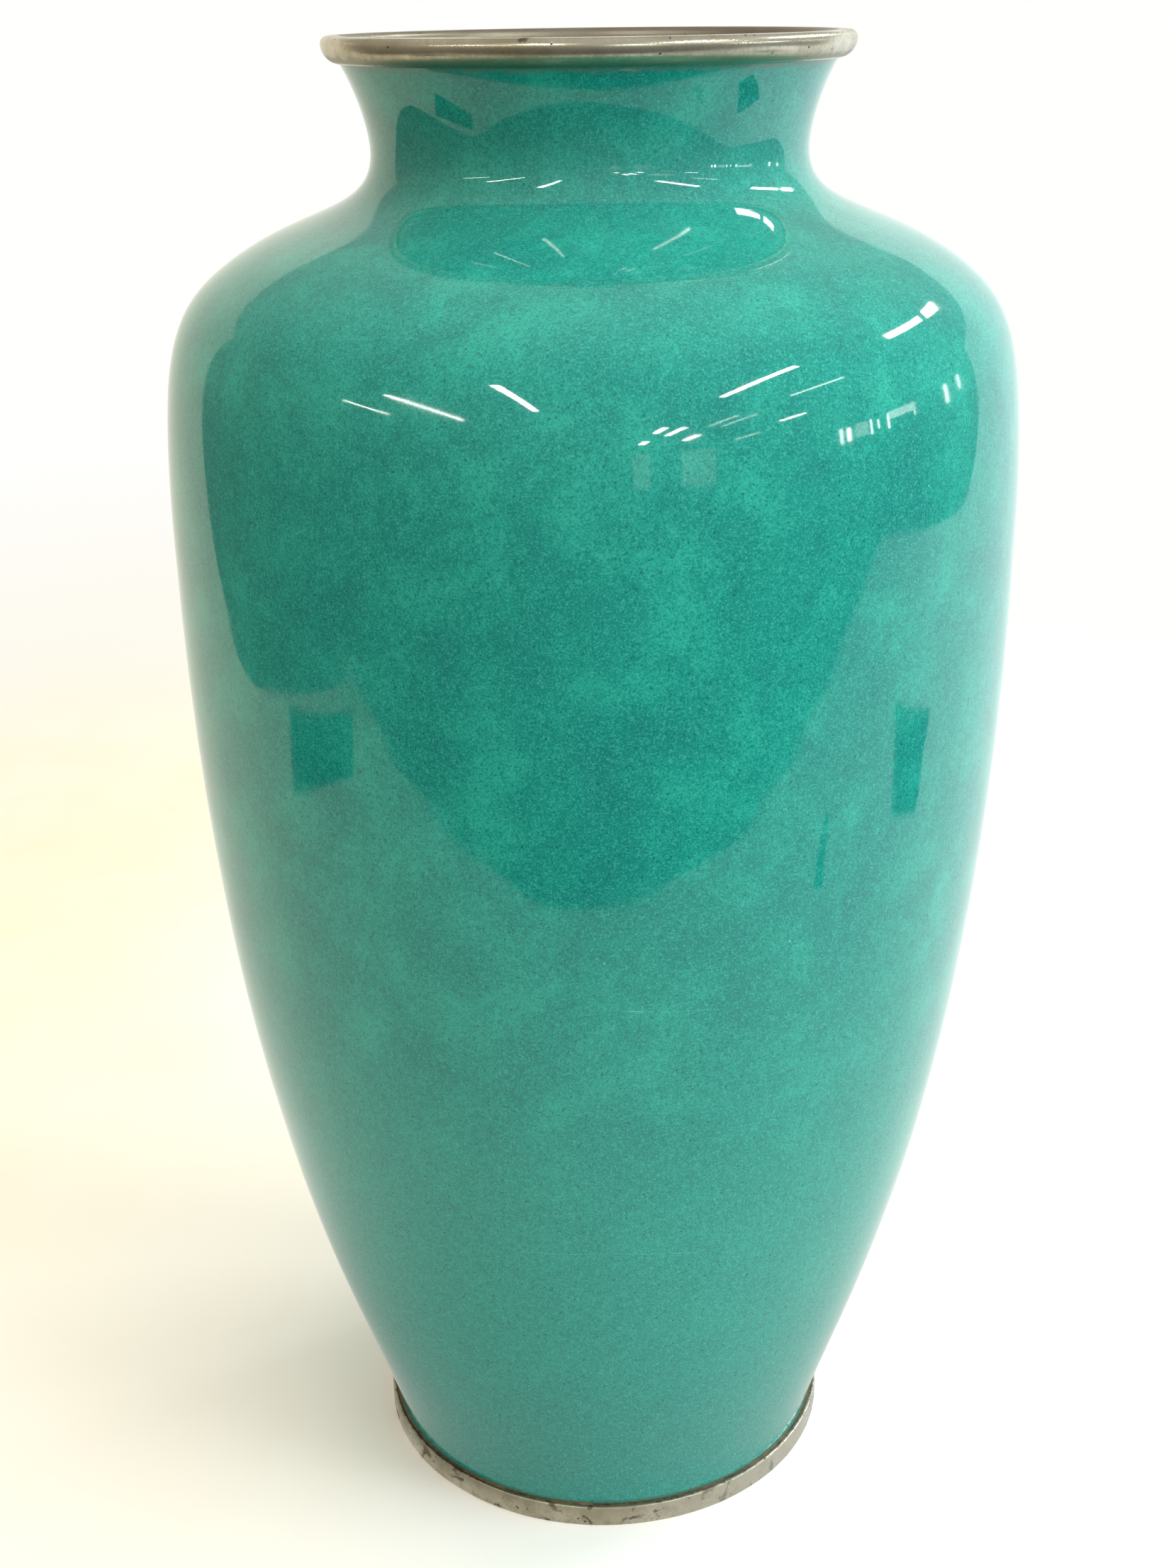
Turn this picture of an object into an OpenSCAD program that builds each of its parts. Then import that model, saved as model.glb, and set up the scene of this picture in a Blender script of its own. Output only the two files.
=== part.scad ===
// Round-shouldered cloisonne vase: a raised copper body under fired glass enamel,
// with a plated metal mount rolled over the lip and another round the foot.
// Millimetres, +Z up. The origin is on the axis, on the table under the foot.
// Every piece is a solid of revolution, so each one is a section in (radius, height).

/* [Outline] */
// Height from the table to the top of the rim mount
vase_h = 245; // [238:0.5:252]
// Radius of the enamel where it meets the foot mount
foot_r = 39.8; // [38.5:0.1:39.8]
// Radius at the widest part of the belly
belly_r = 67.3; // [62:0.1:72]
// Height of the widest part of the belly
belly_z = 171.5; // [160:0.5:175]
// Radius at the middle of the shoulder's slope, where its curve reverses
slope_r = 56.7; // [54:0.1:59]
// Depth of that point below the top
slope_drop = 33; // [31:0.5:35]
// Radius of the narrowest part of the neck
neck_r = 33.3; // [32:0.1:34.5]
// Depth of the narrowest part of the neck below the top
neck_drop = 16.5; // [15:0.5:18]
// Radius of the enamel's upper edge, under the rim mount
lip_r = 37.4; // [36.9:0.1:37.8]
// Depth of the enamel's upper edge below the top
lip_drop = 3.7; // [3.6:0.1:4.4]

/* [Walls] */
// Thickness of the coloured outer enamel
enamel_t = 1; // [0.8:0.1:1.2]
// Thickness of the copper
copper_t = 0.8; // [0.6:0.1:1]
// Thickness of the counter-enamel, inside and underneath
lining_t = 0.6; // [0.4:0.1:0.8]
// Height of the base plate's underside above the table
base_z = 7.2; // [6.8:0.1:9]
// Radius of the cove where the lining's wall meets its floor
floor_cove = 3; // [2:0.5:4]
// Radius of the cove in the counter-enamel under the base
base_cove = 1.5; // [1:0.1:1.8]

/* [Rim mount] */
// Widest radius of the rolled rim mount
rim_r = 39.9; // [39.4:0.1:40.5]
// Radius of the middle of the roll over the inside of the mouth
rim_inner_r = 37; // [36.8:0.1:37.2]
// Sheet thickness of both mounts
sheet_t = 0.6; // [0.5:0.05:0.6]
// Radius of both rolls at the rim's top
roll_r = 1.1; // [0.9:0.1:1.2]
// How far each edge of the rim mount stands proud of the enamel
rim_proud = 0.3; // [0.2:0.05:0.4]

/* [Foot mount] */
// Outer radius of the foot mount
band_r = 40.7; // [40.5:0.1:41.5]
// Height of the foot mount
band_h = 4; // [4:0.1:5]
// Height of the foot mount's inner flange
flange_h = 3.6; // [3:0.1:3.8]
// Bevel on the foot mount's outer edges
band_bevel = 0.15; // [0.05:0.05:0.2]

/* [Hidden] */
$fn = 128;

teal = [0.13, 0.55, 0.47];
dark_teal = [0.12, 0.36, 0.36];
copper = [0.72, 0.42, 0.28];
silver = [0.66, 0.63, 0.58];
braze_grey = [0.60, 0.58, 0.53];
solder_brown = [0.42, 0.31, 0.22];

// Outline curves: a lean is an angle from the vertical, a pull the length of a Bezier handle.
foot_lean = 8;
foot_pull = 17.5;
belly_pull_down = 108;
belly_pull_up = 29.4;
slope_lean = 36.2;
slope_pull_out = 9.8;
slope_pull_in = 14.1;
neck_pull_down = 9.1;
neck_pull_up = 4;
lip_lean = 33;
lip_pull = 3;

// How far the bare copper stands above the enamel inside the rim mount.
copper_rise = 1.8;
// Rise of the straight inner skirt of the rim mount.
skirt_rise = 1.4;
// Leg of the braze fillet round the base plate.
braze_leg = 1;

// A cubic Bezier's points, all but its last.
function bezier(a, b, c, d, steps) = [
    for (i = [0 : steps - 1])
        let (t = i / steps, s = 1 - t)
            s * s * s * a + 3 * s * s * t * b + 3 * s * t * t * c + t * t * t * d
];
function arc(centre, radius, from, to, steps) = [
    for (i = [0 : steps])
        let (angle = from + (to - from) * i / steps)
            centre + radius * [cos(angle), sin(angle)]
];
function reversed(points) = [for (i = [len(points) - 1 : -1 : 0]) points[i]];
// Unit vector along the outline at point i, from its neighbours.
function along(points, i) = let (
    after = points[min(i + 1, len(points) - 1)],
    before = points[max(i - 1, 0)]
) (after - before) / norm(after - before);
// The outline moved into the wall by a depth, measured square to it.
function inset(points, depth) = [
    for (i = [0 : len(points) - 1])
        let (u = along(points, i)) points[i] + depth * [-u[1], u[0]]
];

foot = [foot_r, band_h];
belly = [belly_r, belly_z];
slope = [slope_r, vase_h - slope_drop];
neck = [neck_r, vase_h - neck_drop];
lip = [lip_r, vase_h - lip_drop];
up = [0, 1];
foot_way = [sin(foot_lean), cos(foot_lean)];
slope_way = [-cos(slope_lean), sin(slope_lean)];
lip_way = [sin(lip_lean), cos(lip_lean)];

outline = concat(
    bezier(foot, foot + foot_pull * foot_way, belly - belly_pull_down * up, belly, 28),
    bezier(belly, belly + belly_pull_up * up, slope - slope_pull_out * slope_way, slope, 26),
    bezier(slope, slope + slope_pull_in * slope_way, neck - neck_pull_down * up, neck, 20),
    bezier(neck, neck + neck_pull_up * up, lip - lip_pull * lip_way, lip, 12),
    [lip]
);
copper_outside = inset(outline, enamel_t);
copper_inside = inset(outline, enamel_t + copper_t);
wall_t = enamel_t + copper_t + lining_t;

// The inner face's radius at a height near the foot, where the copper only widens.
inner_by_height = [for (i = [0 : 12]) [copper_inside[i][1], copper_inside[i][0]]];
function inside_r(z) = lookup(z, inner_by_height);
// The copper's inner face strictly between two heights, from the bottom up.
function inner_face(low, high) = [for (p = copper_inside) if (p[1] > low && p[1] < high) p];

copper_foot_out = copper_outside[0][0];
copper_foot_in = copper_inside[0][0];
plate_top = base_z + copper_t;
braze_top = plate_top + braze_leg;
braze_r = inside_r(plate_top) - braze_leg;
floor_z = plate_top + lining_t;
floor_cove_z = floor_z + floor_cove;
floor_cove_r = inside_r(floor_cove_z) - lining_t - floor_cove;
// Points closer together than this are merged into one.
near = 0.1;

// Rim mount: a point by its depth into the wall and its rise beyond the enamel's edge.
out = [lip_way[1], -lip_way[0]];
function rim_at(depth, rise) = lip - depth * out + rise * lip_way;
skirt_depth = wall_t + rim_proud;
// The bead's underside is an arc from the edge of the enamel that ends upright at rim_r.
roll_z = vase_h - roll_r;
bead_foot = rim_at(-rim_proud, 0);
bead_dx = rim_r - bead_foot[0];
bead_dz = roll_z - bead_foot[1];
bead_r = (bead_dx * bead_dx + bead_dz * bead_dz) / (2 * bead_dx);
bead_centre = [rim_r - bead_r, roll_z];
bead_steps = 12;
bead_turn = asin(bead_dz / bead_r);
bead_step = bead_turn / bead_steps;
// The mount's outer face (into = 0) or its cavity (into = sheet_t), from the enamel up and over.
function rim_path(into) = concat(
    [rim_at(into - rim_proud, 0)],
    arc(bead_centre, bead_r - into, bead_step - bead_turn, -bead_step, bead_steps - 2),
    arc([rim_r - roll_r, roll_z], roll_r - into, 0, 90, 8),
    arc([rim_inner_r, roll_z], roll_r - into, 90, 180 - lip_lean, 5),
    [rim_at(skirt_depth - into, skirt_rise), rim_at(skirt_depth - into, 0)]
);

module turned(section) rotate_extrude() polygon(section);

module outer_enamel() color(teal)
    turned(concat(outline, reversed(copper_outside)));

module lining_enamel() color(dark_teal)
    turned(concat(
        [[0, plate_top], [braze_r, plate_top], [inside_r(braze_top), braze_top]],
        inner_face(braze_top + near, vase_h),
        reversed([for (p = inset(outline, wall_t)) if (p[1] > floor_cove_z + near) p]),
        arc([floor_cove_r, floor_cove_z], floor_cove, 0, -90, 8),
        [[0, floor_z]]
    ));

module base_enamel() color(dark_teal) {
    under_z = base_z - lining_t;
    wall_r = copper_foot_in - lining_t;
    turned(concat(
        [[0, base_z], [0, under_z]],
        arc([wall_r - base_cove, under_z - base_cove], base_cove, 90, 0, 6),
        [[wall_r, flange_h], [copper_foot_in, flange_h]],
        inner_face(flange_h, base_z - near),
        [[inside_r(base_z), base_z]]
    ));
}

module copper_body() color(copper)
    turned(concat(
        [[copper_foot_out, sheet_t]],
        copper_outside,
        [rim_at(enamel_t, copper_rise), rim_at(enamel_t + copper_t, copper_rise)],
        reversed(copper_inside),
        [[copper_foot_in, sheet_t]]
    ));

module copper_base() color(copper)
    turned([
        [0, base_z],
        [inside_r(base_z), base_z],
        [inside_r(plate_top), plate_top],
        [0, plate_top]
    ]);

module base_braze() color(braze_grey)
    turned([
        [braze_r, plate_top],
        [inside_r(plate_top), plate_top],
        [inside_r(braze_top), braze_top]
    ]);

module rim_mount() color(silver)
    turned(concat(rim_path(0), reversed(rim_path(sheet_t))));

module rim_solder() color(braze_grey)
    turned(concat(
        rim_path(sheet_t),
        [rim_at(enamel_t + copper_t, 0), rim_at(enamel_t + copper_t, copper_rise)],
        [rim_at(enamel_t, copper_rise), rim_at(enamel_t, 0)]
    ));

module foot_mount() color(silver) {
    flange_r = copper_foot_in - sheet_t;
    turned([
        [flange_r, flange_h],
        [flange_r, band_bevel],
        [flange_r + band_bevel, 0],
        [band_r - band_bevel, 0],
        [band_r, band_bevel],
        [band_r, band_h - band_bevel],
        [band_r - band_bevel, band_h],
        [band_r - sheet_t, band_h],
        [band_r - sheet_t, sheet_t],
        [copper_foot_in, sheet_t],
        [copper_foot_in, flange_h]
    ]);
}

module foot_solder() color(solder_brown)
    turned([
        [copper_foot_out, sheet_t],
        [band_r - sheet_t, sheet_t],
        [band_r - sheet_t, band_h],
        foot,
        copper_outside[0]
    ]);

outer_enamel();
lining_enamel();
base_enamel();
copper_body();
copper_base();
base_braze();
rim_mount();
rim_solder();
foot_mount();
foot_solder();
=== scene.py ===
# Cloisonne vase: its looks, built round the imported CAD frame.
# Metres throughout, Z up, the foot on z = 0, the camera on the -Y side.
import math

import bpy
import numpy as np
from mathutils import Matrix, Vector


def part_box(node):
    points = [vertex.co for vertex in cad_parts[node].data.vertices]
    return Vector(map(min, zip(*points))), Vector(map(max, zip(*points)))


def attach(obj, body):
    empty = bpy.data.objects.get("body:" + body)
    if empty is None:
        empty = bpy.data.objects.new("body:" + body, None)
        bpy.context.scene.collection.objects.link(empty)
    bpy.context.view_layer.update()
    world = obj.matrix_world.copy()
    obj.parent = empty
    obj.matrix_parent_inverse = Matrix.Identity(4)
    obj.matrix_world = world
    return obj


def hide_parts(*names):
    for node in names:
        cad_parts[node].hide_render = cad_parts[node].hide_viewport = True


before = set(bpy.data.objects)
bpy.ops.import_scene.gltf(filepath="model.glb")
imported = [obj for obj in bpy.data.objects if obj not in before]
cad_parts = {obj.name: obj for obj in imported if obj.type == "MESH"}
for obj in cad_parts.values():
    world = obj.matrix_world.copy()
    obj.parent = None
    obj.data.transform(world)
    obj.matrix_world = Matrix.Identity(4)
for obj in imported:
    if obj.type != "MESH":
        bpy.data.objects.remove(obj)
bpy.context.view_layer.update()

MM = 0.001
TURN = 2 * math.pi


# ---------------------------------------------------------------- sections

SAME_RING = 4e-6      # vertices this close in (radius, height) belong to one ring
CORNER = math.radians(24)   # a section that turns more than this at a point has an edge there
MAX_STEP = 2.2 * MM   # longest stretch of section between two rings
MAX_BEND = math.radians(2.6)   # most that the section turns between two rings
MOST_EASED = 0.4      # share of the stretch beside a corner that wear may take
END_RINGS = (0.08 * MM, 0.25 * MM, 0.6 * MM)   # extra rings this far from both ends of a run


def cad_rings(node):
    """The rings of vertices in a turned CAD node, as (radius, height), and which ring each vertex is on."""
    spots = [(math.hypot(v.co.x, v.co.y), v.co.z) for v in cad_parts[node].data.vertices]
    keys, key_of = np.unique(np.round(np.array(spots), 6), axis=0, return_inverse=True)
    ring_of_key = np.full(len(keys), -1)
    rings = []
    for index, key in enumerate(keys):
        if ring_of_key[index] < 0:
            near = np.hypot(*(keys - key).T) < SAME_RING
            ring_of_key[near & (ring_of_key < 0)] = len(rings)
            rings.append(key)
    return np.array(rings), ring_of_key[key_of.ravel()]


def cad_section(node):
    """A turned CAD node's section, as an ordered loop of (radius, height), anticlockwise."""
    rings, ring_of = cad_rings(node)
    beside = {index: set() for index in range(len(rings))}
    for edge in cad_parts[node].data.edges:
        a, b = (int(ring_of[v]) for v in edge.vertices)
        if a != b:
            beside[a].add(b)
            beside[b].add(a)
    ends = [index for index, others in beside.items() if len(others) == 1]
    loop = [ends[0] if ends else 0]
    while True:
        onward = [other for other in sorted(beside[loop[-1]]) if other not in loop]
        if not onward:
            break
        loop.append(onward[0])
    points = rings[loop]
    if ends:   # a solid disc has no vertices on its axis
        points = np.vstack(([0, points[0, 1]], points, [0, points[-1, 1]]))
    after = np.roll(points, -1, axis=0)
    area = np.sum(points[:, 0] * after[:, 1] - after[:, 0] * points[:, 1])
    return points if area > 0 else points[::-1]


def eased_corner(before, corner, after, radius):
    """A corner of a section worn round: three points on a small curve in its place."""
    to_before, to_after = before - corner, after - corner
    start = corner + to_before * min(radius / np.hypot(*to_before), MOST_EASED)
    end = corner + to_after * min(radius / np.hypot(*to_after), MOST_EASED)
    return start, (start + end + 2 * corner) / 4, end


def smooth_run(points, step):
    """Points on a smooth curve through a run of section points, closest where it bends and at its ends."""
    pieces = np.hypot(*np.diff(points, axis=0).T)
    along = np.concatenate(([0], np.cumsum(pieces)))
    slope = np.gradient(points, along, axis=0)
    heading = np.unwrap(np.arctan2(slope[:, 1], slope[:, 0]))
    bend = np.concatenate(([0], np.cumsum(np.abs(np.diff(heading)))))
    effort = along / step + bend / MAX_BEND
    count = max(1, math.ceil(effort[-1]))
    wanted = np.interp(np.linspace(0, effort[-1], count + 1), effort, along)
    ends = np.array([distance for distance in END_RINGS if along[-1] > 4 * distance])
    wanted = np.unique(np.round(np.concatenate((wanted, ends, along[-1] - ends)), 7))
    wanted = np.clip(wanted, 0, along[-1])
    piece = np.clip(np.searchsorted(along, wanted, side="right") - 1, 0, len(pieces) - 1)
    span = pieces[piece]
    share = ((wanted - along[piece]) / span)[:, None]
    return (
        (1 + 2 * share) * (1 - share) ** 2 * points[piece]
        + share**2 * (3 - 2 * share) * points[piece + 1]
        + share * (1 - share) ** 2 * span[:, None] * slope[piece]
        + share**2 * (share - 1) * span[:, None] * slope[piece + 1]
    )


def worn_section(node, edge_radius, step=MAX_STEP):
    """A CAD node's section with its edges worn round and its curves smooth, ready to turn."""
    points = cad_section(node)
    closed = points[0, 0] > 0
    before = np.roll(points, 1, axis=0)
    after = np.roll(points, -1, axis=0)
    arriving = np.arctan2(*(points - before).T[::-1])
    leaving = np.arctan2(*(after - points).T[::-1])
    turn = np.abs((leaving - arriving + math.pi) % TURN - math.pi)
    corner = turn > CORNER
    if not closed:
        corner[[0, -1]] = True
    first = int(np.argmax(corner))
    order = [(first + k) % len(points) for k in range(len(points))]
    runs, run = [], []
    for index in order + ([first] if closed else []):
        if not corner[index]:
            run.append(points[index])
        elif points[index, 0] == 0:
            run.append(points[index])
            runs.append(run)
            run = []
        else:
            start, middle, end = eased_corner(before[index], points[index], after[index], edge_radius)
            run.append(start)
            runs.append(run)
            runs.append([middle])
            run = [end]
    if closed:   # the first corner was met twice: drop what came before it
        runs = runs[1:]
    section = []
    for run in runs:
        if len(run) == 1:
            section.append(np.array(run))
        elif len(run) > 1:
            section.append(smooth_run(np.array(run), step))
    return np.vstack(section)


# ---------------------------------------------------------------- turned pieces


def waves(seed, count, longest, shortest, around):
    """A smooth, seeded unevenness over (angle, height), of size about 1.

    longest and shortest are the waves' lengths; around is the radius at which they are measured.
    """
    rng = np.random.default_rng(seed)
    length = np.exp(rng.uniform(math.log(shortest), math.log(longest), count))
    tilt = rng.uniform(0, math.pi, count)
    laps = np.round(TURN * around * np.cos(tilt) / length)
    rise = TURN * np.sin(tilt) / length
    phase = rng.uniform(0, TURN, count)
    weight = length / np.sqrt(np.sum(length**2) / 2)

    def value(angle, height):
        total = np.zeros(np.broadcast(angle, height).shape)
        for lap, climb, start, share in zip(laps, rise, phase, weight):
            total += share * np.cos(lap * angle + climb * height + start)
        return total

    return value


def turned(name, section, segments, shape=None):
    """A mesh object made by turning a section. shape(angle, radius, height) may move the rings' points."""
    angle = np.arange(segments) * TURN / segments
    angle, radius = np.meshgrid(angle, section[:, 0])
    height = np.repeat(section[:, 1:2], segments, axis=1)
    if shape:
        radius, height = shape(angle, radius, height)
    points = np.stack((radius * np.cos(angle), radius * np.sin(angle), height), axis=-1)
    meets_axis = section[0, 0] == 0
    rows = len(section)
    solid_rows = range(1, rows - 1) if meets_axis else range(rows)
    vertices = [tuple(p) for row in solid_rows for p in points[row]]
    start_of = {row: n * segments for n, row in enumerate(solid_rows)}
    faces = []
    for row in solid_rows:
        above = row + 1 if meets_axis else (row + 1) % rows
        if above in start_of:
            a, b = start_of[row], start_of[above]
            for k in range(segments):
                m = (k + 1) % segments
                faces.append((a + k, a + m, b + m, b + k))
    if meets_axis:
        for pole, row, flip in ((0, 1, True), (rows - 1, rows - 2, False)):
            vertices.append((0, 0, section[pole, 1]))
            for k in range(segments):
                pair = (start_of[row] + k, start_of[row] + (k + 1) % segments)
                faces.append((*(pair[::-1] if flip else pair), len(vertices) - 1))
    mesh = bpy.data.meshes.new(name)
    mesh.from_pydata(vertices, [], faces)
    mesh.validate()
    mesh.polygons.foreach_set("use_smooth", np.ones(len(mesh.polygons), bool))
    piece = bpy.data.objects.new(name, mesh)
    bpy.context.scene.collection.objects.link(piece)
    return piece


def placed(piece, node, material):
    """Fixes a piece to the frame in place of its CAD node."""
    piece.data.materials.append(material)
    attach(piece, "root")
    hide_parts(node)
    return piece


# ---------------------------------------------------------------- materials


class Wiring:
    """Adds shader nodes to one node tree. Each method adds a few and gives back the last one's output."""

    def __init__(self, tree):
        self.tree = tree
        self.place = self.add("ShaderNodeTexCoord").outputs["Object"]
        self.axes = self.add("ShaderNodeSeparateXYZ", {"Vector": self.place}).outputs

    def add(self, kind, links=None, **settings):
        node = self.tree.nodes.new(kind)
        for setting, value in settings.items():
            setattr(node, setting, value)
        for socket, value in (links or {}).items():
            self.set(node.inputs[socket], value)
        return node

    def set(self, socket, value):
        if isinstance(value, bpy.types.NodeSocket):
            self.tree.links.new(value, socket)
        else:
            socket.default_value = value

    def radius(self):
        """Distance from the vase's axis."""
        flat = self.add("ShaderNodeVectorMath", {0: self.place, 1: (1, 1, 0)}, operation="MULTIPLY")
        length = self.add("ShaderNodeVectorMath", {0: flat.outputs["Vector"]}, operation="LENGTH")
        return length.outputs["Value"]

    def stretched(self, across, along, up):
        """The place on the piece with its axes scaled, for grain that runs one way."""
        links = {0: self.place, 1: (across, along, up)}
        return self.add("ShaderNodeVectorMath", links, operation="MULTIPLY").outputs["Vector"]

    def noise(self, size, detail=2.0, roughness=0.5, distortion=0.0, place=None):
        """Cloudy noise from 0 to 1 whose patches are about this size, in metres."""
        links = {"Vector": place or self.place, "Scale": 1 / size, "Detail": detail,
                 "Roughness": roughness, "Distortion": distortion}
        return self.add("ShaderNodeTexNoise", links).outputs["Fac"]

    def cells(self, size):
        """Scattered cells of this size: the distance to each cell's centre, in cells, and a random number."""
        voronoi = self.add("ShaderNodeTexVoronoi", {"Vector": self.place, "Scale": 1 / size})
        number = self.add("ShaderNodeSeparateColor", {"Color": voronoi.outputs["Color"]})
        return voronoi.outputs["Distance"], number.outputs["Red"]

    def span(self, value, low, high, to_low=0.0, to_high=1.0, smooth=False):
        """value from low to high brought to to_low to to_high, and held there outside."""
        links = {"Value": value, "From Min": low, "From Max": high, "To Min": to_low, "To Max": to_high}
        kind = "SMOOTHSTEP" if smooth else "LINEAR"
        return self.add("ShaderNodeMapRange", links, interpolation_type=kind).outputs["Result"]

    def math(self, operation, a, b=0.0):
        return self.add("ShaderNodeMath", {0: a, 1: b}, operation=operation).outputs["Value"]

    def times(self, a, b):
        return self.math("MULTIPLY", a, b)

    def mix(self, share, a, b, blend="MIX"):
        """Colour a turned towards colour b by a share."""
        node = self.add("ShaderNodeMix", data_type="RGBA", blend_type=blend)
        self.set(node.inputs[0], share)
        self.set(node.inputs[6], a)
        self.set(node.inputs[7], b)
        return node.outputs[2]

    def specks(self, size, share, radius, softness=0.15):
        """Small round spots in some of the cells: 1 in a spot, 0 outside."""
        distance, number = self.cells(size)
        spot = self.span(distance, radius, radius + softness, 1.0, 0.0)
        chosen = self.math("LESS_THAN", number, share)
        return self.times(spot, chosen)

    def bump(self, height, distance, under=None):
        """A bump whose full height is this many metres."""
        links = {"Height": height, "Distance": distance, "Strength": 1.0}
        if under:
            links["Normal"] = under
        return self.add("ShaderNodeBump", links).outputs["Normal"]


class Finish(Wiring):
    """One procedural material on a Principled shader."""

    def __init__(self, name, **values):
        self.material = bpy.data.materials.new(name)
        self.material.use_nodes = True
        super().__init__(self.material.node_tree)
        self.shader = self.tree.nodes["Principled BSDF"]
        for socket, value in values.items():
            self.give(socket.replace("_", " "), value)

    def give(self, socket, value):
        self.set(self.shader.inputs[socket], value)


def rgb(red, green, blue):
    return (red, green, blue, 1.0)


TEAL = rgb(0.005, 0.290, 0.225)
TEAL_DEEP = rgb(0.004, 0.222, 0.186)
TEAL_PALE = rgb(0.016, 0.415, 0.305)
GRAIN_DARK = rgb(0.001, 0.170, 0.138)
GRAIN_PALE = rgb(0.046, 0.420, 0.335)
SPECK = rgb(0.001, 0.085, 0.077)
SCUFF = rgb(0.30, 0.62, 0.52)
# dust with a painted sheen: brightens the hollow of the neck
DUST_AND_PAINTED_SHEEN = rgb(0.26, 0.33, 0.29)
# grime under the rim, painted pale to lift the shade under the bead
GRIME_AND_PAINTED_LIGHT = rgb(0.19, 0.24, 0.175)
RUST = rgb(0.110, 0.095, 0.055)

# Heights on the vase from which and to which something in the enamel comes in, in metres.
CLOUDIER = (0.06, 0.13)
PAINTED_SHADE_TOWARDS_FOOT = (0.055, 0.010)
LESS_PEPPERY = (0.03, 0.12)
HOLLOW_FROM_BELOW = (0.205, 0.216)
HOLLOW_FROM_ABOVE = (0.238, 0.230)

# Fine marks in the polish: their two ends on the unrolled front (distance round, height), their width, all in
# mm, and their strength.
SCRATCHES = [
    ((4.1, 114.6), (6.3, 114.4), 0.060, 0.85),
    ((6.3, 114.4), (16.4, 113.7), 0.035, 0.30),
    ((-13.4, 68.2), (1.1, 68.8), 0.045, 0.30),
    ((1.1, 68.8), (15.7, 67.3), 0.045, 0.26),
]


def scratches(f):
    """How scuffed the glass is, 0 to 1: a few short straight scratches on the front."""
    angle = f.math("ARCTAN2", f.axes["X"], f.times(f.axes["Y"], -1.0))
    unrolled = f.add("ShaderNodeCombineXYZ", {"X": f.times(angle, f.radius()), "Y": f.axes["Z"]})
    spot = unrolled.outputs["Vector"]
    total = 0.0
    for start, end, width, strength in SCRATCHES:
        a = Vector((*start, 0)) * MM
        way = Vector((*end, 0)) * MM - a
        unit = way.normalized()
        from_start = f.add("ShaderNodeVectorMath", {0: spot, 1: a}, operation="SUBTRACT").outputs["Vector"]
        along = f.add("ShaderNodeVectorMath", {0: from_start, 1: unit}, operation="DOT_PRODUCT")
        reach = f.span(along.outputs["Value"], 0.0, way.length, 0.0, way.length)
        nearest = f.add("ShaderNodeVectorMath", {0: unit}, operation="SCALE")
        f.set(nearest.inputs["Scale"], reach)
        pair = {0: from_start, 1: nearest.outputs["Vector"]}
        gap = f.add("ShaderNodeVectorMath", pair, operation="DISTANCE")
        line = f.span(gap.outputs["Value"], width * MM * 0.5, width * MM, strength, 0.0)
        total = f.math("MAXIMUM", line, total)
    return total


def fired_colour(f):
    """The glass through and through: cloudy teal, peppered with fine pale and dark grains, with painted shade
    deepening it towards the foot.
    """
    height = f.axes["Z"]
    cloud = f.noise(12 * MM, detail=4, roughness=0.62, distortion=0.3)
    cloudy = f.span(height, *CLOUDIER, 0.22, 1.0, smooth=True)
    colour = f.mix(f.times(f.span(cloud, 0.5, 0.72), cloudy), TEAL, TEAL_PALE)
    colour = f.mix(f.times(f.span(cloud, 0.5, 0.28), cloudy), colour, TEAL_DEEP)
    # painted shade: the teal darkens towards the foot
    colour = f.mix(f.span(height, *PAINTED_SHADE_TOWARDS_FOOT, 0.0, 0.7), colour, TEAL_DEEP)
    coarse = f.noise(0.9 * MM, detail=1)
    fine = f.noise(0.27 * MM, detail=1, roughness=0.6)
    grain = f.math("ADD", f.span(coarse, 0.2, 0.8, -0.28, 0.28), f.span(fine, 0.2, 0.8, -1.0, 1.0))
    colour = f.mix(f.span(grain, 0.0, -1.0), colour, GRAIN_DARK)
    colour = f.mix(f.span(grain, 0.0, 1.0), colour, GRAIN_PALE)
    colour = f.mix(f.times(f.specks(0.8 * MM, share=0.35, radius=0.19), 0.45), colour, GRAIN_DARK)
    dark = f.specks(1.2 * MM, share=0.45, radius=0.11, softness=0.07)
    colour = f.mix(f.times(dark, f.span(height, *LESS_PEPPERY, 0.95, 0.6)), colour, SPECK)
    return f.mix(f.times(f.specks(9 * MM, share=0.30, radius=0.014, softness=0.008), 0.6), colour, SCUFF)


def dirt_and_painted_light(f, colour):
    """Dust and a painted sheen in the hollow of the neck, grime and painted light close under the rim, and a
    brown line close above the foot.
    """
    height = f.axes["Z"]
    hollow = f.times(f.span(height, *HOLLOW_FROM_BELOW), f.span(height, *HOLLOW_FROM_ABOVE))
    # dust and painted sheen: a little pale grey brightens the hollow of the neck as a soft sheen would
    dust_and_sheen = f.times(hollow, f.span(f.noise(5 * MM, detail=4, roughness=0.65), 0.25, 0.75, 0.03, 0.09))
    colour = f.mix(dust_and_sheen, colour, DUST_AND_PAINTED_SHEEN)
    under_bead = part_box("rim_mount")[0].z
    above_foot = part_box("foot_mount")[1].z
    ragged = f.math("ADD", height, f.span(f.noise(2.2 * MM, detail=4), 0.3, 0.7, -0.3 * MM, 0.3 * MM))
    # grime and painted light: a greyish band close under the rim, paler than grime alone, lifts the shade
    # under the bead
    grime = f.span(ragged, under_bead - 0.8 * MM, under_bead - 0.1 * MM, 0.0, 0.55, smooth=True)
    colour = f.mix(grime, colour, GRIME_AND_PAINTED_LIGHT)
    rust = f.span(ragged, above_foot + 0.2 * MM, above_foot + 1.1 * MM, 0.55, 0.0, smooth=True)
    return f.mix(rust, colour, RUST)


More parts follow.
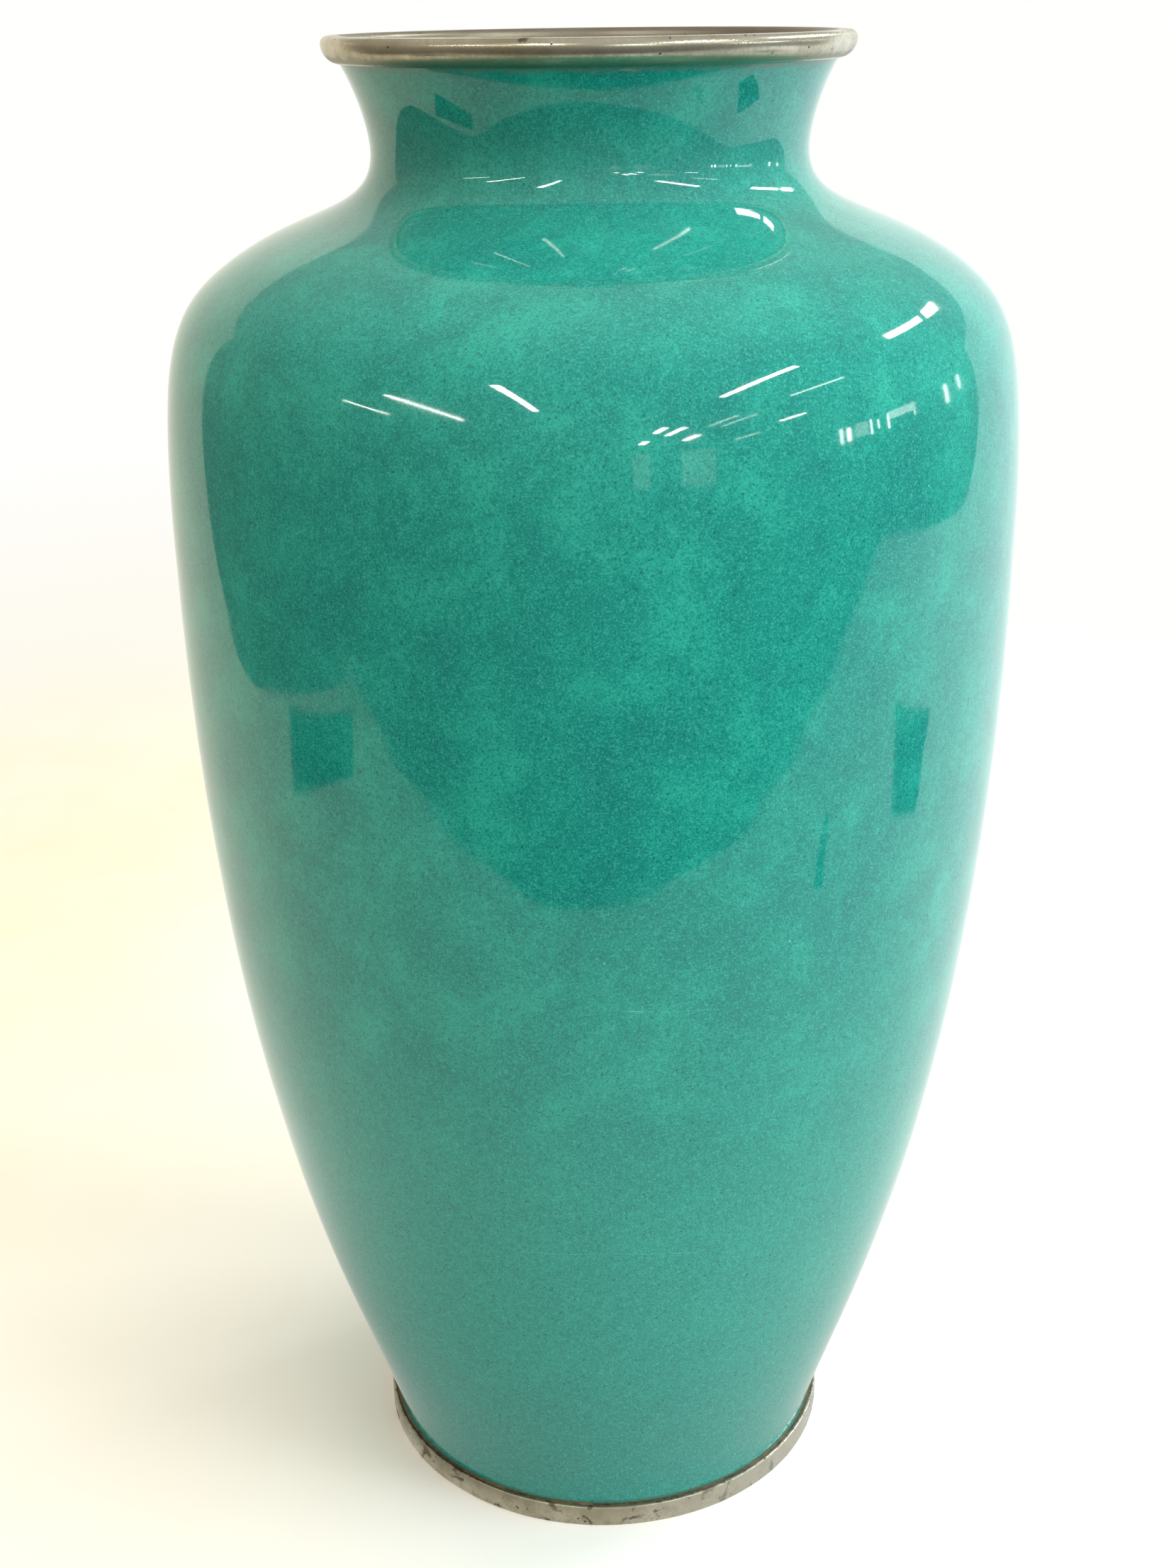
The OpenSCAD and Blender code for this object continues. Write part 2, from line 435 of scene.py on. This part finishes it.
def teal_enamel():
    """Fired lead glass, ground and polished by hand: almost flat, with a few pits and scratches."""
    f = Finish("teal_enamel", IOR=1.6)
    scratched = scratches(f)
    f.give("Base Color", f.mix(scratched, dirt_and_painted_light(f, fired_colour(f)), SCUFF))
    smear = f.noise(16 * MM, detail=5, roughness=0.6, distortion=0.8)
    rough = f.span(smear, 0.42, 0.75, 0.035, 0.11)
    f.give("Roughness", f.math("MAXIMUM", rough, f.times(scratched, 0.4)))
    peel = f.bump(f.noise(1.6 * MM, detail=2), 0.0012 * MM)
    pits = f.times(f.specks(5.2 * MM, share=0.10, radius=0.014, softness=0.012), -1.0)
    pitted = f.bump(pits, 0.03 * MM, peel)
    f.give("Normal", f.bump(f.times(scratched, -1.0), 0.01 * MM, pitted))
    return f.material


def counter_enamel():
    """The plain dark enamel fired inside and underneath: uneven, duller, with pinholes."""
    f = Finish("counter_enamel", IOR=1.5)
    cloud = f.noise(6 * MM, detail=4, roughness=0.6)
    colour = f.mix(f.span(cloud, 0.35, 0.65), rgb(0.006, 0.045, 0.042), rgb(0.016, 0.110, 0.092))
    fine = f.noise(0.7 * MM, detail=3, roughness=0.7)
    colour = f.mix(f.span(fine, 0.45, 0.75, 0.0, 0.5), colour, rgb(0.10, 0.22, 0.19))
    dark = f.specks(1.8 * MM, share=0.45, radius=0.12, softness=0.1)
    colour = f.mix(dark, colour, rgb(0.004, 0.014, 0.014))
    f.give("Base Color", colour)
    f.give("Roughness", f.span(cloud, 0.3, 0.7, 0.10, 0.30))
    peel = f.bump(f.noise(2.6 * MM, detail=3), 0.05 * MM)
    pits = f.times(f.specks(3 * MM, share=0.3, radius=0.06, softness=0.05), -1.0)
    f.give("Normal", f.bump(pits, 0.12 * MM, peel))
    return f.material


# The plate's colours, and those of the dirt on it.
SILVER = rgb(0.71, 0.665, 0.52)
WARM_FILM = rgb(0.36, 0.305, 0.19)
DULL_GRAIN = rgb(0.40, 0.365, 0.27)
BROWN = rgb(0.105, 0.080, 0.052)
PIT = rgb(0.05, 0.035, 0.025)
RIM_GRIME = rgb(0.25, 0.23, 0.16)
RIM_LEFT = rgb(0.24, 0.21, 0.15)
RIM_INSIDE = rgb(0.25, 0.215, 0.165)
FOOT_FILM_AND_SHADE = rgb(0.20, 0.160, 0.100)
FOOT_SMUDGE = rgb(0.27, 0.24, 0.17)
FOOT_PALER_RIGHT = rgb(0.76, 0.76, 0.72)
FOOT_STAIN = rgb(0.10, 0.068, 0.040)

WARM_LEFT_PALE_RIGHT = (-0.035, 0.030)   # x at which both mounts take the most and the least warm film, so warmer and darker at the left and paler at the right, in metres


def plating(f, tarnish, dulled, blotch_size, blotch_low):
    """Silver plate on sheet copper, worn, tarnished and pitted. Gives its colour and its roughness.

    tarnish is the share of warm film and dulled the mean roughness. Brown blotches of about blotch_size come
    where their noise is above blotch_low.
    """
    film = f.noise(12 * MM, detail=4, roughness=0.6)
    colour = f.mix(f.times(f.span(film, 0.36, 0.62), tarnish), SILVER, WARM_FILM)
    fine = f.noise(0.5 * MM, detail=3, roughness=0.7)
    colour = f.mix(f.span(fine, 0.4, 0.75, 0.0, 0.45), colour, DULL_GRAIN)
    blotch = f.noise(blotch_size, detail=4, roughness=0.6, distortion=0.6)
    brown = f.span(blotch, blotch_low, blotch_low + 0.08, smooth=True)
    colour = f.mix(f.times(brown, 0.85), colour, BROWN)
    pits = f.specks(1.3 * MM, share=0.35, radius=0.09, softness=0.08)
    colour = f.mix(pits, colour, PIT)
    rough = f.math("ADD", f.span(film, 0.3, 0.7, dulled * 0.75, dulled * 1.3), f.times(brown, 0.25))
    rough = f.math("ADD", rough, f.span(fine, 0.4, 0.8, 0.0, 0.12))
    ripple = f.bump(f.noise(3.2 * MM, detail=3), 0.02 * MM)
    scratch = f.noise(0.22 * MM, detail=2, place=f.stretched(0.12, 0.12, 1.0))
    scratched = f.bump(scratch, 0.0006 * MM, ripple)
    f.give("Normal", f.bump(f.times(pits, -1.0), 0.03 * MM, scratched))
    return colour, rough


def rim_plating():
    """The rim's plate: handled bright on the bead, filmed over inside, with grime against the enamel."""
    _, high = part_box("rim_mount")
    f = Finish("rim_plating", Metallic=1.0)
    tarnish = f.span(f.axes["X"], *WARM_LEFT_PALE_RIGHT, 0.85, 0.45)
    colour, rough = plating(f, tarnish, dulled=0.23, blotch_size=7 * MM, blotch_low=0.64)
    uneven = f.noise(2.5 * MM, detail=4, roughness=0.65)
    level = f.math("ADD", f.axes["Z"], f.span(uneven, 0.2, 0.8, -0.5 * MM, 0.5 * MM))
    outside = f.span(f.radius(), high.x - 2.0 * MM, high.x - 1.4 * MM)
    grime = f.times(f.span(level, high.z - 3.0 * MM, high.z - 1.5 * MM, 1.0, 0.0), outside)
    colour = f.mix(f.times(grime, 0.8), colour, RIM_GRIME)
    # darker still at the far left of the rim
    colour = f.mix(f.span(f.axes["X"], -0.028, -0.039, 0.0, 0.35), colour, RIM_LEFT)
    inside = f.span(f.radius(), high.x - 2.9 * MM, high.x - 2.2 * MM, 1.0, 0.0)
    f.give("Base Color", f.mix(f.times(inside, 0.75), colour, RIM_INSIDE))
    rough = f.math("MAXIMUM", rough, f.times(grime, 0.42))
    f.give("Roughness", f.math("MAXIMUM", rough, f.times(inside, 0.45)))
    return f.material


def foot_plating():
    """The foot's plate: duller, blotched brown and stained along its top edge; at the left its top is filmed
    over with tarnish and painted shade, and towards the right it is paler.
    """
    _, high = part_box("foot_mount")
    f = Finish("foot_plating", Metallic=1.0)
    tarnish = f.span(f.axes["X"], *WARM_LEFT_PALE_RIGHT, 0.75, 0.25)
    colour, rough = plating(f, tarnish, dulled=0.32, blotch_size=4 * MM, blotch_low=0.55)
    uneven = f.noise(1.6 * MM, detail=4, roughness=0.7)
    level = f.math("ADD", f.axes["Z"], f.span(uneven, 0.25, 0.75, -0.6 * MM, 0.5 * MM))
    # tarnish film and painted shade: darker and browner towards the top of the band at the left
    filmed = f.span(f.axes["X"], -0.034, 0.004, 0.62, 0.10)
    film = f.times(f.span(level, high.z - 2.6 * MM, high.z - 0.6 * MM), filmed)
    colour = f.mix(film, colour, FOOT_FILM_AND_SHADE)
    smudge = f.noise(3 * MM, detail=4, roughness=0.7)
    colour = f.mix(f.span(smudge, 0.5, 0.72, 0.0, 0.45), colour, FOOT_SMUDGE)
    # paler and greyer towards the right
    colour = f.mix(f.span(f.axes["X"], 0.0, 0.030, 0.0, 0.45), colour, FOOT_PALER_RIGHT)
    stain = f.span(level, high.z - 0.05 * MM, high.z + 0.25 * MM)
    f.give("Base Color", f.mix(f.times(stain, 0.9), colour, FOOT_STAIN))
    f.give("Roughness", f.math("MAXIMUM", rough, f.times(stain, 0.55)))
    return f.material


def oxidised_solder():
    """Soft solder gone brown and rusty where it creeps up the glass."""
    f = Finish("oxidised_solder", Metallic=0.25)
    cloud = f.noise(1.4 * MM, detail=4, roughness=0.7)
    colour = f.mix(f.span(cloud, 0.35, 0.65), rgb(0.055, 0.034, 0.020), rgb(0.20, 0.115, 0.055))
    f.give("Base Color", colour)
    f.give("Roughness", f.span(cloud, 0.3, 0.7, 0.42, 0.72))
    f.give("Normal", f.bump(f.noise(0.35 * MM, detail=3), 0.04 * MM))
    return f.material


def fired_copper():
    """Copper sheet that has been through the kiln: red metal under a patchy dark scale."""
    f = Finish("fired_copper", Metallic=1.0)
    scale = f.noise(5 * MM, detail=5, roughness=0.65)
    colour = f.mix(f.span(scale, 0.4, 0.6), rgb(0.62, 0.24, 0.12), rgb(0.13, 0.055, 0.04))
    colour = f.mix(f.span(f.noise(0.6 * MM, detail=3), 0.5, 0.7, 0.0, 0.4), colour, rgb(0.72, 0.36, 0.22))
    f.give("Base Color", colour)
    f.give("Roughness", f.span(scale, 0.35, 0.65, 0.28, 0.62))
    f.give("Normal", f.bump(f.noise(4 * MM, detail=3), 0.08 * MM))
    return f.material


def braze():
    """Pale brass-coloured braze, rippled where it froze."""
    f = Finish("braze", Metallic=1.0)
    cloud = f.noise(2 * MM, detail=4, roughness=0.6)
    colour = f.mix(f.span(cloud, 0.35, 0.65), rgb(0.55, 0.43, 0.24), rgb(0.23, 0.18, 0.12))
    f.give("Base Color", colour)
    f.give("Roughness", f.span(cloud, 0.3, 0.7, 0.3, 0.5))
    f.give("Normal", f.bump(f.noise(1.2 * MM, detail=2), 0.06 * MM))
    return f.material


# ---------------------------------------------------------------- the vase


def outer_enamel(material):
    """The teal enamel: ground by hand, so its face wanders by a few hundredths of a millimetre."""
    low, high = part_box("outer_enamel")
    wander = waves(seed=11, count=26, longest=70 * MM, shortest=13 * MM, around=55 * MM)

    def hand_ground(angle, radius, height):
        from_ends = np.minimum(height - low.z, high.z - height)
        fade = np.clip(from_ends / (9 * MM), 0, 1)
        return radius + 0.02 * MM * fade * wander(angle, height), height

    section = worn_section("outer_enamel", edge_radius=0.1 * MM, step=2.6 * MM)
    piece = turned("outer_enamel_glass", section, segments=240, shape=hand_ground)
    return placed(piece, "outer_enamel", material)


def lining_enamel(material):
    """The counter-enamel inside. It is never ground, and its kiln ripple is in its material."""
    section = worn_section("lining_enamel", edge_radius=0.1 * MM, step=3 * MM)
    piece = turned("lining_enamel_glass", section, segments=192)
    return placed(piece, "lining_enamel", material)


def base_enamel(material):
    """The counter-enamel under the base and inside the foot."""
    section = worn_section("base_enamel", edge_radius=0.1 * MM, step=2 * MM)
    piece = turned("base_enamel_glass", section, segments=192)
    return placed(piece, "base_enamel", material)


def rim_mount(material):
    """The plated rim, rolled over the lip by hand, so that its bead is not quite even."""
    _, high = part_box("rim_mount")
    uneven = waves(seed=5, count=14, longest=60 * MM, shortest=9 * MM, around=high.x)

    def rolled(angle, radius, height):
        outside = np.clip((radius - (high.x - 2 * MM)) / (2 * MM), 0, 1)
        return radius + 0.035 * MM * outside * uneven(angle, height), height

    section = worn_section("rim_mount", edge_radius=0.12 * MM, step=0.5 * MM)
    piece = turned("rim_mount_sheet", section, segments=384, shape=rolled)
    return placed(piece, "rim_mount", material)


DENT_RANGES = ((0.8, 3.6), (0.8, 2.2), (0.03, 0.1))   # height on the foot band, size and depth, in mm


def foot_mount(material):
    """The plated band: knocked and dented a little, its top edge filed by eye."""
    low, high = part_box("foot_mount")
    uneven = waves(seed=8, count=16, longest=50 * MM, shortest=7 * MM, around=high.x)
    rng = np.random.default_rng(21)
    dents = []
    for _ in range(16):
        where = rng.uniform(0, TURN)
        level, size, depth = (rng.uniform(least, most) * MM for least, most in DENT_RANGES)
        dents.append((where, level, size, depth))

    def knocked(angle, radius, height):
        outside = np.clip((radius - (high.x - 0.6 * MM)) / (0.5 * MM), 0, 1)
        moved = radius + 0.03 * MM * outside * uneven(angle, height)
        for where, level, size, depth in dents:
            across = ((angle - where + math.pi) % TURN - math.pi) * high.x
            moved -= depth * outside * np.exp(-(across**2 + (height - level) ** 2) / size**2)
        top = np.clip((height - low.z) / (high.z - low.z), 0, 1) ** 2
        return moved, height + 0.06 * MM * top * outside * uneven(angle, 0.05)

    section = worn_section("foot_mount", edge_radius=0.14 * MM, step=0.5 * MM)
    piece = turned("foot_mount_band", section, segments=384, shape=knocked)
    return placed(piece, "foot_mount", material)


GLASS_LEAN = math.tan(math.radians(8))   # how far the glass leans out just above the foot


def foot_solder(material):
    """The solder in the foot channel. Its top edge creeps up the glass in a thin ragged line."""
    glass_foot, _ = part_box("outer_enamel")
    _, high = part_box("foot_solder")
    ragged = waves(seed=3, count=40, longest=14 * MM, shortest=1.2 * MM, around=high.x)
    coarse = waves(seed=4, count=12, longest=90 * MM, shortest=20 * MM, around=high.x)
    inner = high.x - 0.3 * MM

    def creeping(angle, radius, height):
        against_glass = np.clip((high.x - radius) / (high.x - inner), 0, 1)
        seen = (radius > inner - 0.02 * MM) & (height > glass_foot.z - 0.02 * MM)
        climb = 0.10 * MM + 0.07 * MM * ragged(angle, 0.0) + 0.07 * MM * coarse(angle, 0.0)
        climb = np.clip(climb, 0.02 * MM, 0.45 * MM) * against_glass * seen
        return radius + climb * GLASS_LEAN, height + climb

    section = worn_section("foot_solder", edge_radius=0.03 * MM, step=0.12 * MM)
    piece = turned("foot_solder_line", section, segments=512, shape=creeping)
    return placed(piece, "foot_solder", material)


def carried(node, material):
    """A CAD node that keeps its own shape and gets a better material."""
    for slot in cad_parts[node].material_slots:
        slot.material = material


# ---------------------------------------------------------------- stage


BACKDROP = rgb(1.0, 1.0, 0.985)   # far floor and background, plain near-white


def sheet_object(name, points, columns):
    """A smooth sheet from a grid of points, given row by row."""
    rows = len(points) // columns
    faces = [
        (r * columns + c, r * columns + c + 1, (r + 1) * columns + c + 1, (r + 1) * columns + c)
        for r in range(rows - 1)
        for c in range(columns - 1)
    ]
    mesh = bpy.data.meshes.new(name)
    mesh.from_pydata(points, [], faces)
    mesh.polygons.foreach_set("use_smooth", np.ones(len(faces), bool))
    thing = bpy.data.objects.new(name, mesh)
    bpy.context.scene.collection.objects.link(thing)
    return thing


FLOOR_REACH = 9.0
FLOOR_CELLS = 40


def floor_paint():
    """Matt near-white, with warm light painted in: creamier at the left and deeper towards the back, and
    warmer round the foot, where a painted glow warms the shade.

    Far away it turns into the plain backdrop, painted warmer at the left.
    """
    f = Finish("floor_paint", Roughness=0.9)
    side = f.span(f.axes["X"], -0.16, 0.10, smooth=True)
    back = f.span(f.axes["Y"], 0.0, 0.20)
    near = f.span(f.radius(), 0.06, 0.17, 0.8, 0.0)
    # painted warm light: cream, deeper towards the back and warmer round the foot, turning to a cool pale at
    # the right
    painted_warm_light = f.mix(back, rgb(0.93, 0.87, 0.74), rgb(0.85, 0.77, 0.56))
    painted_warm_light = f.mix(near, painted_warm_light, rgb(1.0, 0.89, 0.74))
    pale = f.mix(side, painted_warm_light, rgb(0.95, 0.97, 0.97))
    grain = f.noise(60 * MM, detail=4)
    f.give("Base Color", f.mix(f.span(grain, 0.3, 0.7, 0.0, 0.25), pale, rgb(0.97, 0.97, 0.95)))
    f.give("Specular IOR Level", 0.0)
    # painted light: a faint warm glow in the shade at the left of the foot
    f.give("Emission Color", rgb(1.0, 0.74, 0.60))
    f.give("Emission Strength", f.times(near, f.span(side, 0.0, 1.0, 0.09, 0.0)))
    away = f.add("ShaderNodeVectorMath", {0: f.place}, operation="LENGTH").outputs["Value"]
    # the far floor painted warmer at the left
    far = f.mix(f.span(f.axes["X"], -0.22, 0.0, smooth=True), rgb(0.99, 0.95, 0.84), BACKDROP)
    blank = f.add("ShaderNodeEmission", {"Color": f.mix(f.span(away, 0.45, 0.9), far, BACKDROP)})
    links = {0: f.span(away, 0.30, 0.55, smooth=True), 1: f.shader.outputs[0], 2: blank.outputs[0]}
    both = f.add("ShaderNodeMixShader", links)
    f.tree.links.new(both.outputs[0], f.tree.nodes["Material Output"].inputs[0])
    return f.material


def floor():
    """The plain pale floor that the camera sees. The vase's own reflections come from the paper instead."""
    steps = np.linspace(-FLOOR_REACH, FLOOR_REACH, FLOOR_CELLS + 1)
    thing = sheet_object("floor", [(x, y, 0.0) for y in steps for x in steps], FLOOR_CELLS + 1)
    thing.data.materials.append(floor_paint())
    for ray in ("diffuse", "glossy", "transmission", "shadow"):
        setattr(thing, "visible_" + ray, False)


# The white paper under and behind the vase, in plan and in metres: x, and where its front edge and its
# upright back are there. Only reflections and bounced light see it.
PAPER_EDGE = [
    (-0.47, -0.245, 0.24),
    (-0.20, -0.265, 0.28),
    (0.10, -0.275, 0.33),
    (0.40, -0.260, 0.37),
    (0.86, -0.215, 0.43),
]
PAPER_TOP = 0.40
PAPER_BEND = 0.18       # radius of the bend from flat to upright
PAPER_LEVEL = -0.4 * MM


def paper_glow():
    """The paper's light: warmer at the left, brighter at the right, dimmer in front and round the foot."""
    material = bpy.data.materials.new("paper_glow")
    material.use_nodes = True
    tree = material.node_tree
    tree.nodes.clear()
    f = Wiring(tree)
    side = f.span(f.axes["X"], -0.40, 0.50, smooth=True)
    colour = f.mix(side, rgb(0.95, 0.88, 0.70), rgb(1.20, 1.29, 1.35))
    at_foot = f.span(f.radius(), 0.036, 0.13, 1.0, 0.0, smooth=True)
    depth = f.span(f.axes["X"], -0.06, 0.08, 0.50, 0.12)
    shade = f.math("SUBTRACT", 1.0, f.times(depth, at_foot))
    front = f.span(f.axes["Y"], -0.27, 0.05, 0.60, 1.0)
    glow = f.add("ShaderNodeEmission", {"Color": colour, "Strength": f.times(shade, front)})
    under = f.add("ShaderNodeNewGeometry").outputs["Backfacing"]
    clear = f.add("ShaderNodeBsdfTransparent")
    both = f.add("ShaderNodeMixShader", {0: under, 1: glow.outputs[0], 2: clear.outputs[0]})
    out = f.add("ShaderNodeOutputMaterial")
    tree.links.new(both.outputs[0], out.inputs[0])
    return material


def paper():
    """The paper sweep, flat in front and curving up behind. It glows, from its upper side only."""
    across = np.linspace(PAPER_EDGE[-1][0], PAPER_EDGE[0][0], 25)   # right to left, so that its faces look up
    known = np.array(PAPER_EDGE)
    points = []
    for x in across:
        front = np.interp(x, known[:, 0], known[:, 1])
        back = np.interp(x, known[:, 0], known[:, 2])
        points += [(x, y, PAPER_LEVEL) for y in np.linspace(front, back - PAPER_BEND, 10)]
        for a in np.linspace(0, math.pi / 2, 9)[1:]:
            y = back - PAPER_BEND + PAPER_BEND * math.sin(a)
            points.append((x, y, PAPER_LEVEL + PAPER_BEND * (1 - math.cos(a))))
        points.append((x, back, PAPER_TOP))
    thing = sheet_object("paper", points, len(points) // len(across))
    thing.data.materials.append(paper_glow())
    thing.visible_camera = False
    thing.visible_shadow = False


# Dark things that lie on the paper, seen only as reflections in the glass: corners in plan.
DARK_THINGS = [
    [(-0.450, -0.042), (-0.412, -0.214), (-0.339, -0.169), (-0.357, -0.032)],
    [(0.444, -0.069), (0.325, -0.046), (0.324, 0.007), (0.438, 0.042)],
    [(0.300, -0.176), (0.233, -0.155), (0.238, -0.142), (0.302, -0.170)],
]


def dark_things():
    """A dark box, bottle and pencil on the paper, each no more than its outline."""
    f = Finish("dark_card", Roughness=0.6)
    f.give("Base Color", rgb(0.02, 0.03, 0.03))
    for number, corners in enumerate(DARK_THINGS):
        a, b, c, d = ((x, y, 0.2 * MM) for x, y in corners)
        thing = sheet_object(f"dark_thing_{number}", [a, b, d, c], 2)
        thing.data.materials.append(f.material)
        for ray in ("camera", "diffuse", "shadow"):
            setattr(thing, "visible_" + ray, False)


# How bright the room is at each elevation, in degrees.
ROOM_LEVELS = [
    (-90, 0.12),
    (-32, 0.15),
    (-18, 0.21),
    (-5, 0.31),
    (4, 0.40),
    (15, 0.49),
    (35, 0.53),
    (60, 0.63),
    (90, 0.68),
]


def room():
    """The world: plain near-white to the camera, and to everything else a dim room with a paler ceiling."""
    world = bpy.data.worlds.new("room")
    bpy.context.scene.world = world
    world.use_nodes = True
    world.node_tree.nodes.clear()
    f = Wiring(world.node_tree)
    direction = f.add("ShaderNodeTexCoord").outputs["Generated"]
    where = f.add("ShaderNodeSeparateXYZ", {"Vector": direction})
    ramp = f.add("ShaderNodeValToRGB", {"Fac": f.span(where.outputs["Z"], -1.0, 1.0)})
    stops = ramp.color_ramp.elements
    while len(stops) < len(ROOM_LEVELS):
        stops.new(0.5)
    for stop, (elevation, level) in zip(stops, ROOM_LEVELS):
        stop.position = (math.sin(math.radians(elevation)) + 1) / 2
        stop.color = (level, level, level, 1.0)
    side = f.span(where.outputs["X"], -0.9, 0.9)
    tint = f.mix(side, rgb(0.88, 0.79, 0.65), rgb(1.0, 1.08, 1.12))
    glow = f.add("ShaderNodeBackground", {"Color": f.mix(1.0, ramp.outputs["Color"], tint, "MULTIPLY")})
    plain = f.add("ShaderNodeBackground", {"Color": BACKDROP})
    seen = f.add("ShaderNodeLightPath").outputs["Is Camera Ray"]
    both = f.add("ShaderNodeMixShader", {0: seen, 1: glow.outputs[0], 2: plain.outputs[0]})
    out = f.add("ShaderNodeOutputWorld")
    f.tree.links.new(both.outputs[0], out.inputs[0])


def area_light(name, place, aim, width, length, radiance, colour, glossy=True):
    """A rectangular light of a given radiance, unseen by the camera."""
    data = bpy.data.lights.new(name, "AREA")
    data.shape = "RECTANGLE"
    data.size, data.size_y = width, length
    data.energy = radiance * math.pi * width * length
    data.color = colour
    lamp = bpy.data.objects.new(name, data)
    lamp.location = place
    lamp.rotation_mode = "QUATERNION"
    lamp.rotation_quaternion = (Vector(aim) - Vector(place)).to_track_quat("-Z", "Y")
    lamp.visible_camera = False
    lamp.visible_glossy = glossy
    bpy.context.scene.collection.objects.link(lamp)


# Ceiling tubes: x, nearer y, farther y, width, radiance.
CEILING = 2.4
TUBES = [
    (-1.4, -2.6, -5.2, 0.16, 40),
    (-4.3, -2.8, -6.5, 0.16, 40),
    (-6.8, -2.7, -5.0, 0.16, 30),
    (2.6, -1.3, -3.75, 0.16, 50),
    (4.7, -1.5, -3.4, 0.16, 12),
    (8.5, -5.6, -7.4, 0.35, 30),
    (2.85, -8.5, -10.1, 0.3, 40),
    (3.7, -8.6, -11.0, 0.3, 40),
    (3.1, -13.0, -14.4, 0.45, 35),
    (5.5, -11.0, -13.0, 0.45, 35),
    (4.75, -6.2, -8.4, 0.2, 7),
    (5.5, -5.9, -8.6, 0.2, 7),
    (10.0, -10.8, -13.9, 0.4, 8),
    (3.0, 1.95, 0.7, 0.3, 45),
    (3.0, 2.9, 2.2, 0.4, 45),
]

# Bright gaps of a shuttered window in the wall at the right: y, width, bottom, top, radiance.
WINDOW_WALL = 4.6
WINDOWS = [
    (-2.12, 0.09, 0.31, 0.62, 16),
    (-1.91, 0.11, 0.33, 0.60, 22),
    (-1.55, 0.40, 0.36, 0.64, 2.5),
    (-1.27, 0.06, 0.34, 0.64, 15),
    (-1.06, 0.06, 0.40, 0.58, 11),
    (-0.77, 0.06, 0.34, 0.62, 15),
    (-0.36, 0.85, 0.50, 0.66, 4.5),
    (0.02, 0.05, 0.40, 0.66, 9),
    (1.12, 0.09, 0.32, 0.70, 16),
    (1.70, 0.09, 0.42, 0.74, 12),
]

# Pale upright things across the room: middle, width, height, radiance.
PALE_THINGS = [
    ((1.04, -4.9, 0.34), 0.4, 0.72, 0.62),
    ((2.20, -4.5, 0.34), 0.75, 0.72, 0.70),
]

# Two large soft lights that no reflection shows: name, place, aim, side, radiance, colour.
SOFT_LIGHTS = [
    ("key", (2.25, -0.8, 1.2), (0, 0, 0.12), 1.5, 6.0, (0.90, 0.98, 1.06)),
    ("overhead", (0.3, -0.3, 2.2), (0, 0, 0.2), 1.6, 1.7, (1.0, 0.99, 0.95)),
]

TUBE_COLOUR = (1.0, 1.0, 0.96)
WINDOW_COLOUR = (1.0, 0.98, 0.95)


def lights():
    """Ceiling tubes and a window for the small bright reflections, and the two soft lights."""
    for number, (x, near, far, width, radiance) in enumerate(TUBES):
        middle = (x, (near + far) / 2, CEILING)
        below = (middle[0], middle[1], 0.0)
        area_light(f"tube_{number}", middle, below, width, near - far, radiance, TUBE_COLOUR)
    for number, (y, width, bottom, top, radiance) in enumerate(WINDOWS):
        middle = (WINDOW_WALL, y, (bottom + top) / 2)
        inward = (0.0, y, middle[2])
        area_light(f"window_{number}", middle, inward, width, top - bottom, radiance, WINDOW_COLOUR)
    for place, width, height, radiance in PALE_THINGS:
        area_light("pale_thing", place, (0, 0, place[2]), width, height, radiance, TUBE_COLOUR)
    for name, place, aim, side, radiance, colour in SOFT_LIGHTS:
        area_light(name, place, aim, side, side, radiance, colour, glossy=False)


# Where the photograph was taken from, and which way the camera looked.
CAMERA_PLACE = (0.0, -0.3181, 0.2505)
CAMERA_DOWN, CAMERA_ROLL, CAMERA_YAW = (math.radians(a) for a in (21.667, -0.777, -0.288))
LENS, SENSOR = 45.76, 36.0


def camera():
    data = bpy.data.cameras.new("camera")
    data.lens = LENS
    data.sensor_width = SENSOR
    data.clip_start = 0.01
    data.clip_end = 100.0
    looking = Vector((
        math.sin(CAMERA_YAW) * math.cos(CAMERA_DOWN),
        math.cos(CAMERA_YAW) * math.cos(CAMERA_DOWN),
        -math.sin(CAMERA_DOWN),
    ))
    level = Vector((math.cos(CAMERA_YAW), -math.sin(CAMERA_YAW), 0.0))
    upright = level.cross(looking)
    right = level * math.cos(CAMERA_ROLL) + upright * math.sin(CAMERA_ROLL)
    up = upright * math.cos(CAMERA_ROLL) - level * math.sin(CAMERA_ROLL)
    turned_to = Matrix((right, up, -looking)).transposed().to_4x4()
    thing = bpy.data.objects.new("camera", data)
    thing.matrix_world = Matrix.Translation(CAMERA_PLACE) @ turned_to
    bpy.context.scene.collection.objects.link(thing)
    bpy.context.scene.camera = thing


# ---------------------------------------------------------------- everything together

camera()
room()
paper()
dark_things()
floor()
lights()
bpy.context.scene.view_settings.view_transform = "Standard"

counter = counter_enamel()
outer_enamel(teal_enamel())
lining_enamel(counter)
base_enamel(counter)
rim_mount(rim_plating())
foot_mount(foot_plating())
foot_solder(oxidised_solder())
copper, bright = fired_copper(), braze()
carried("copper_body", copper)
carried("copper_base", copper)
carried("base_braze", bright)
carried("rim_solder", bright)
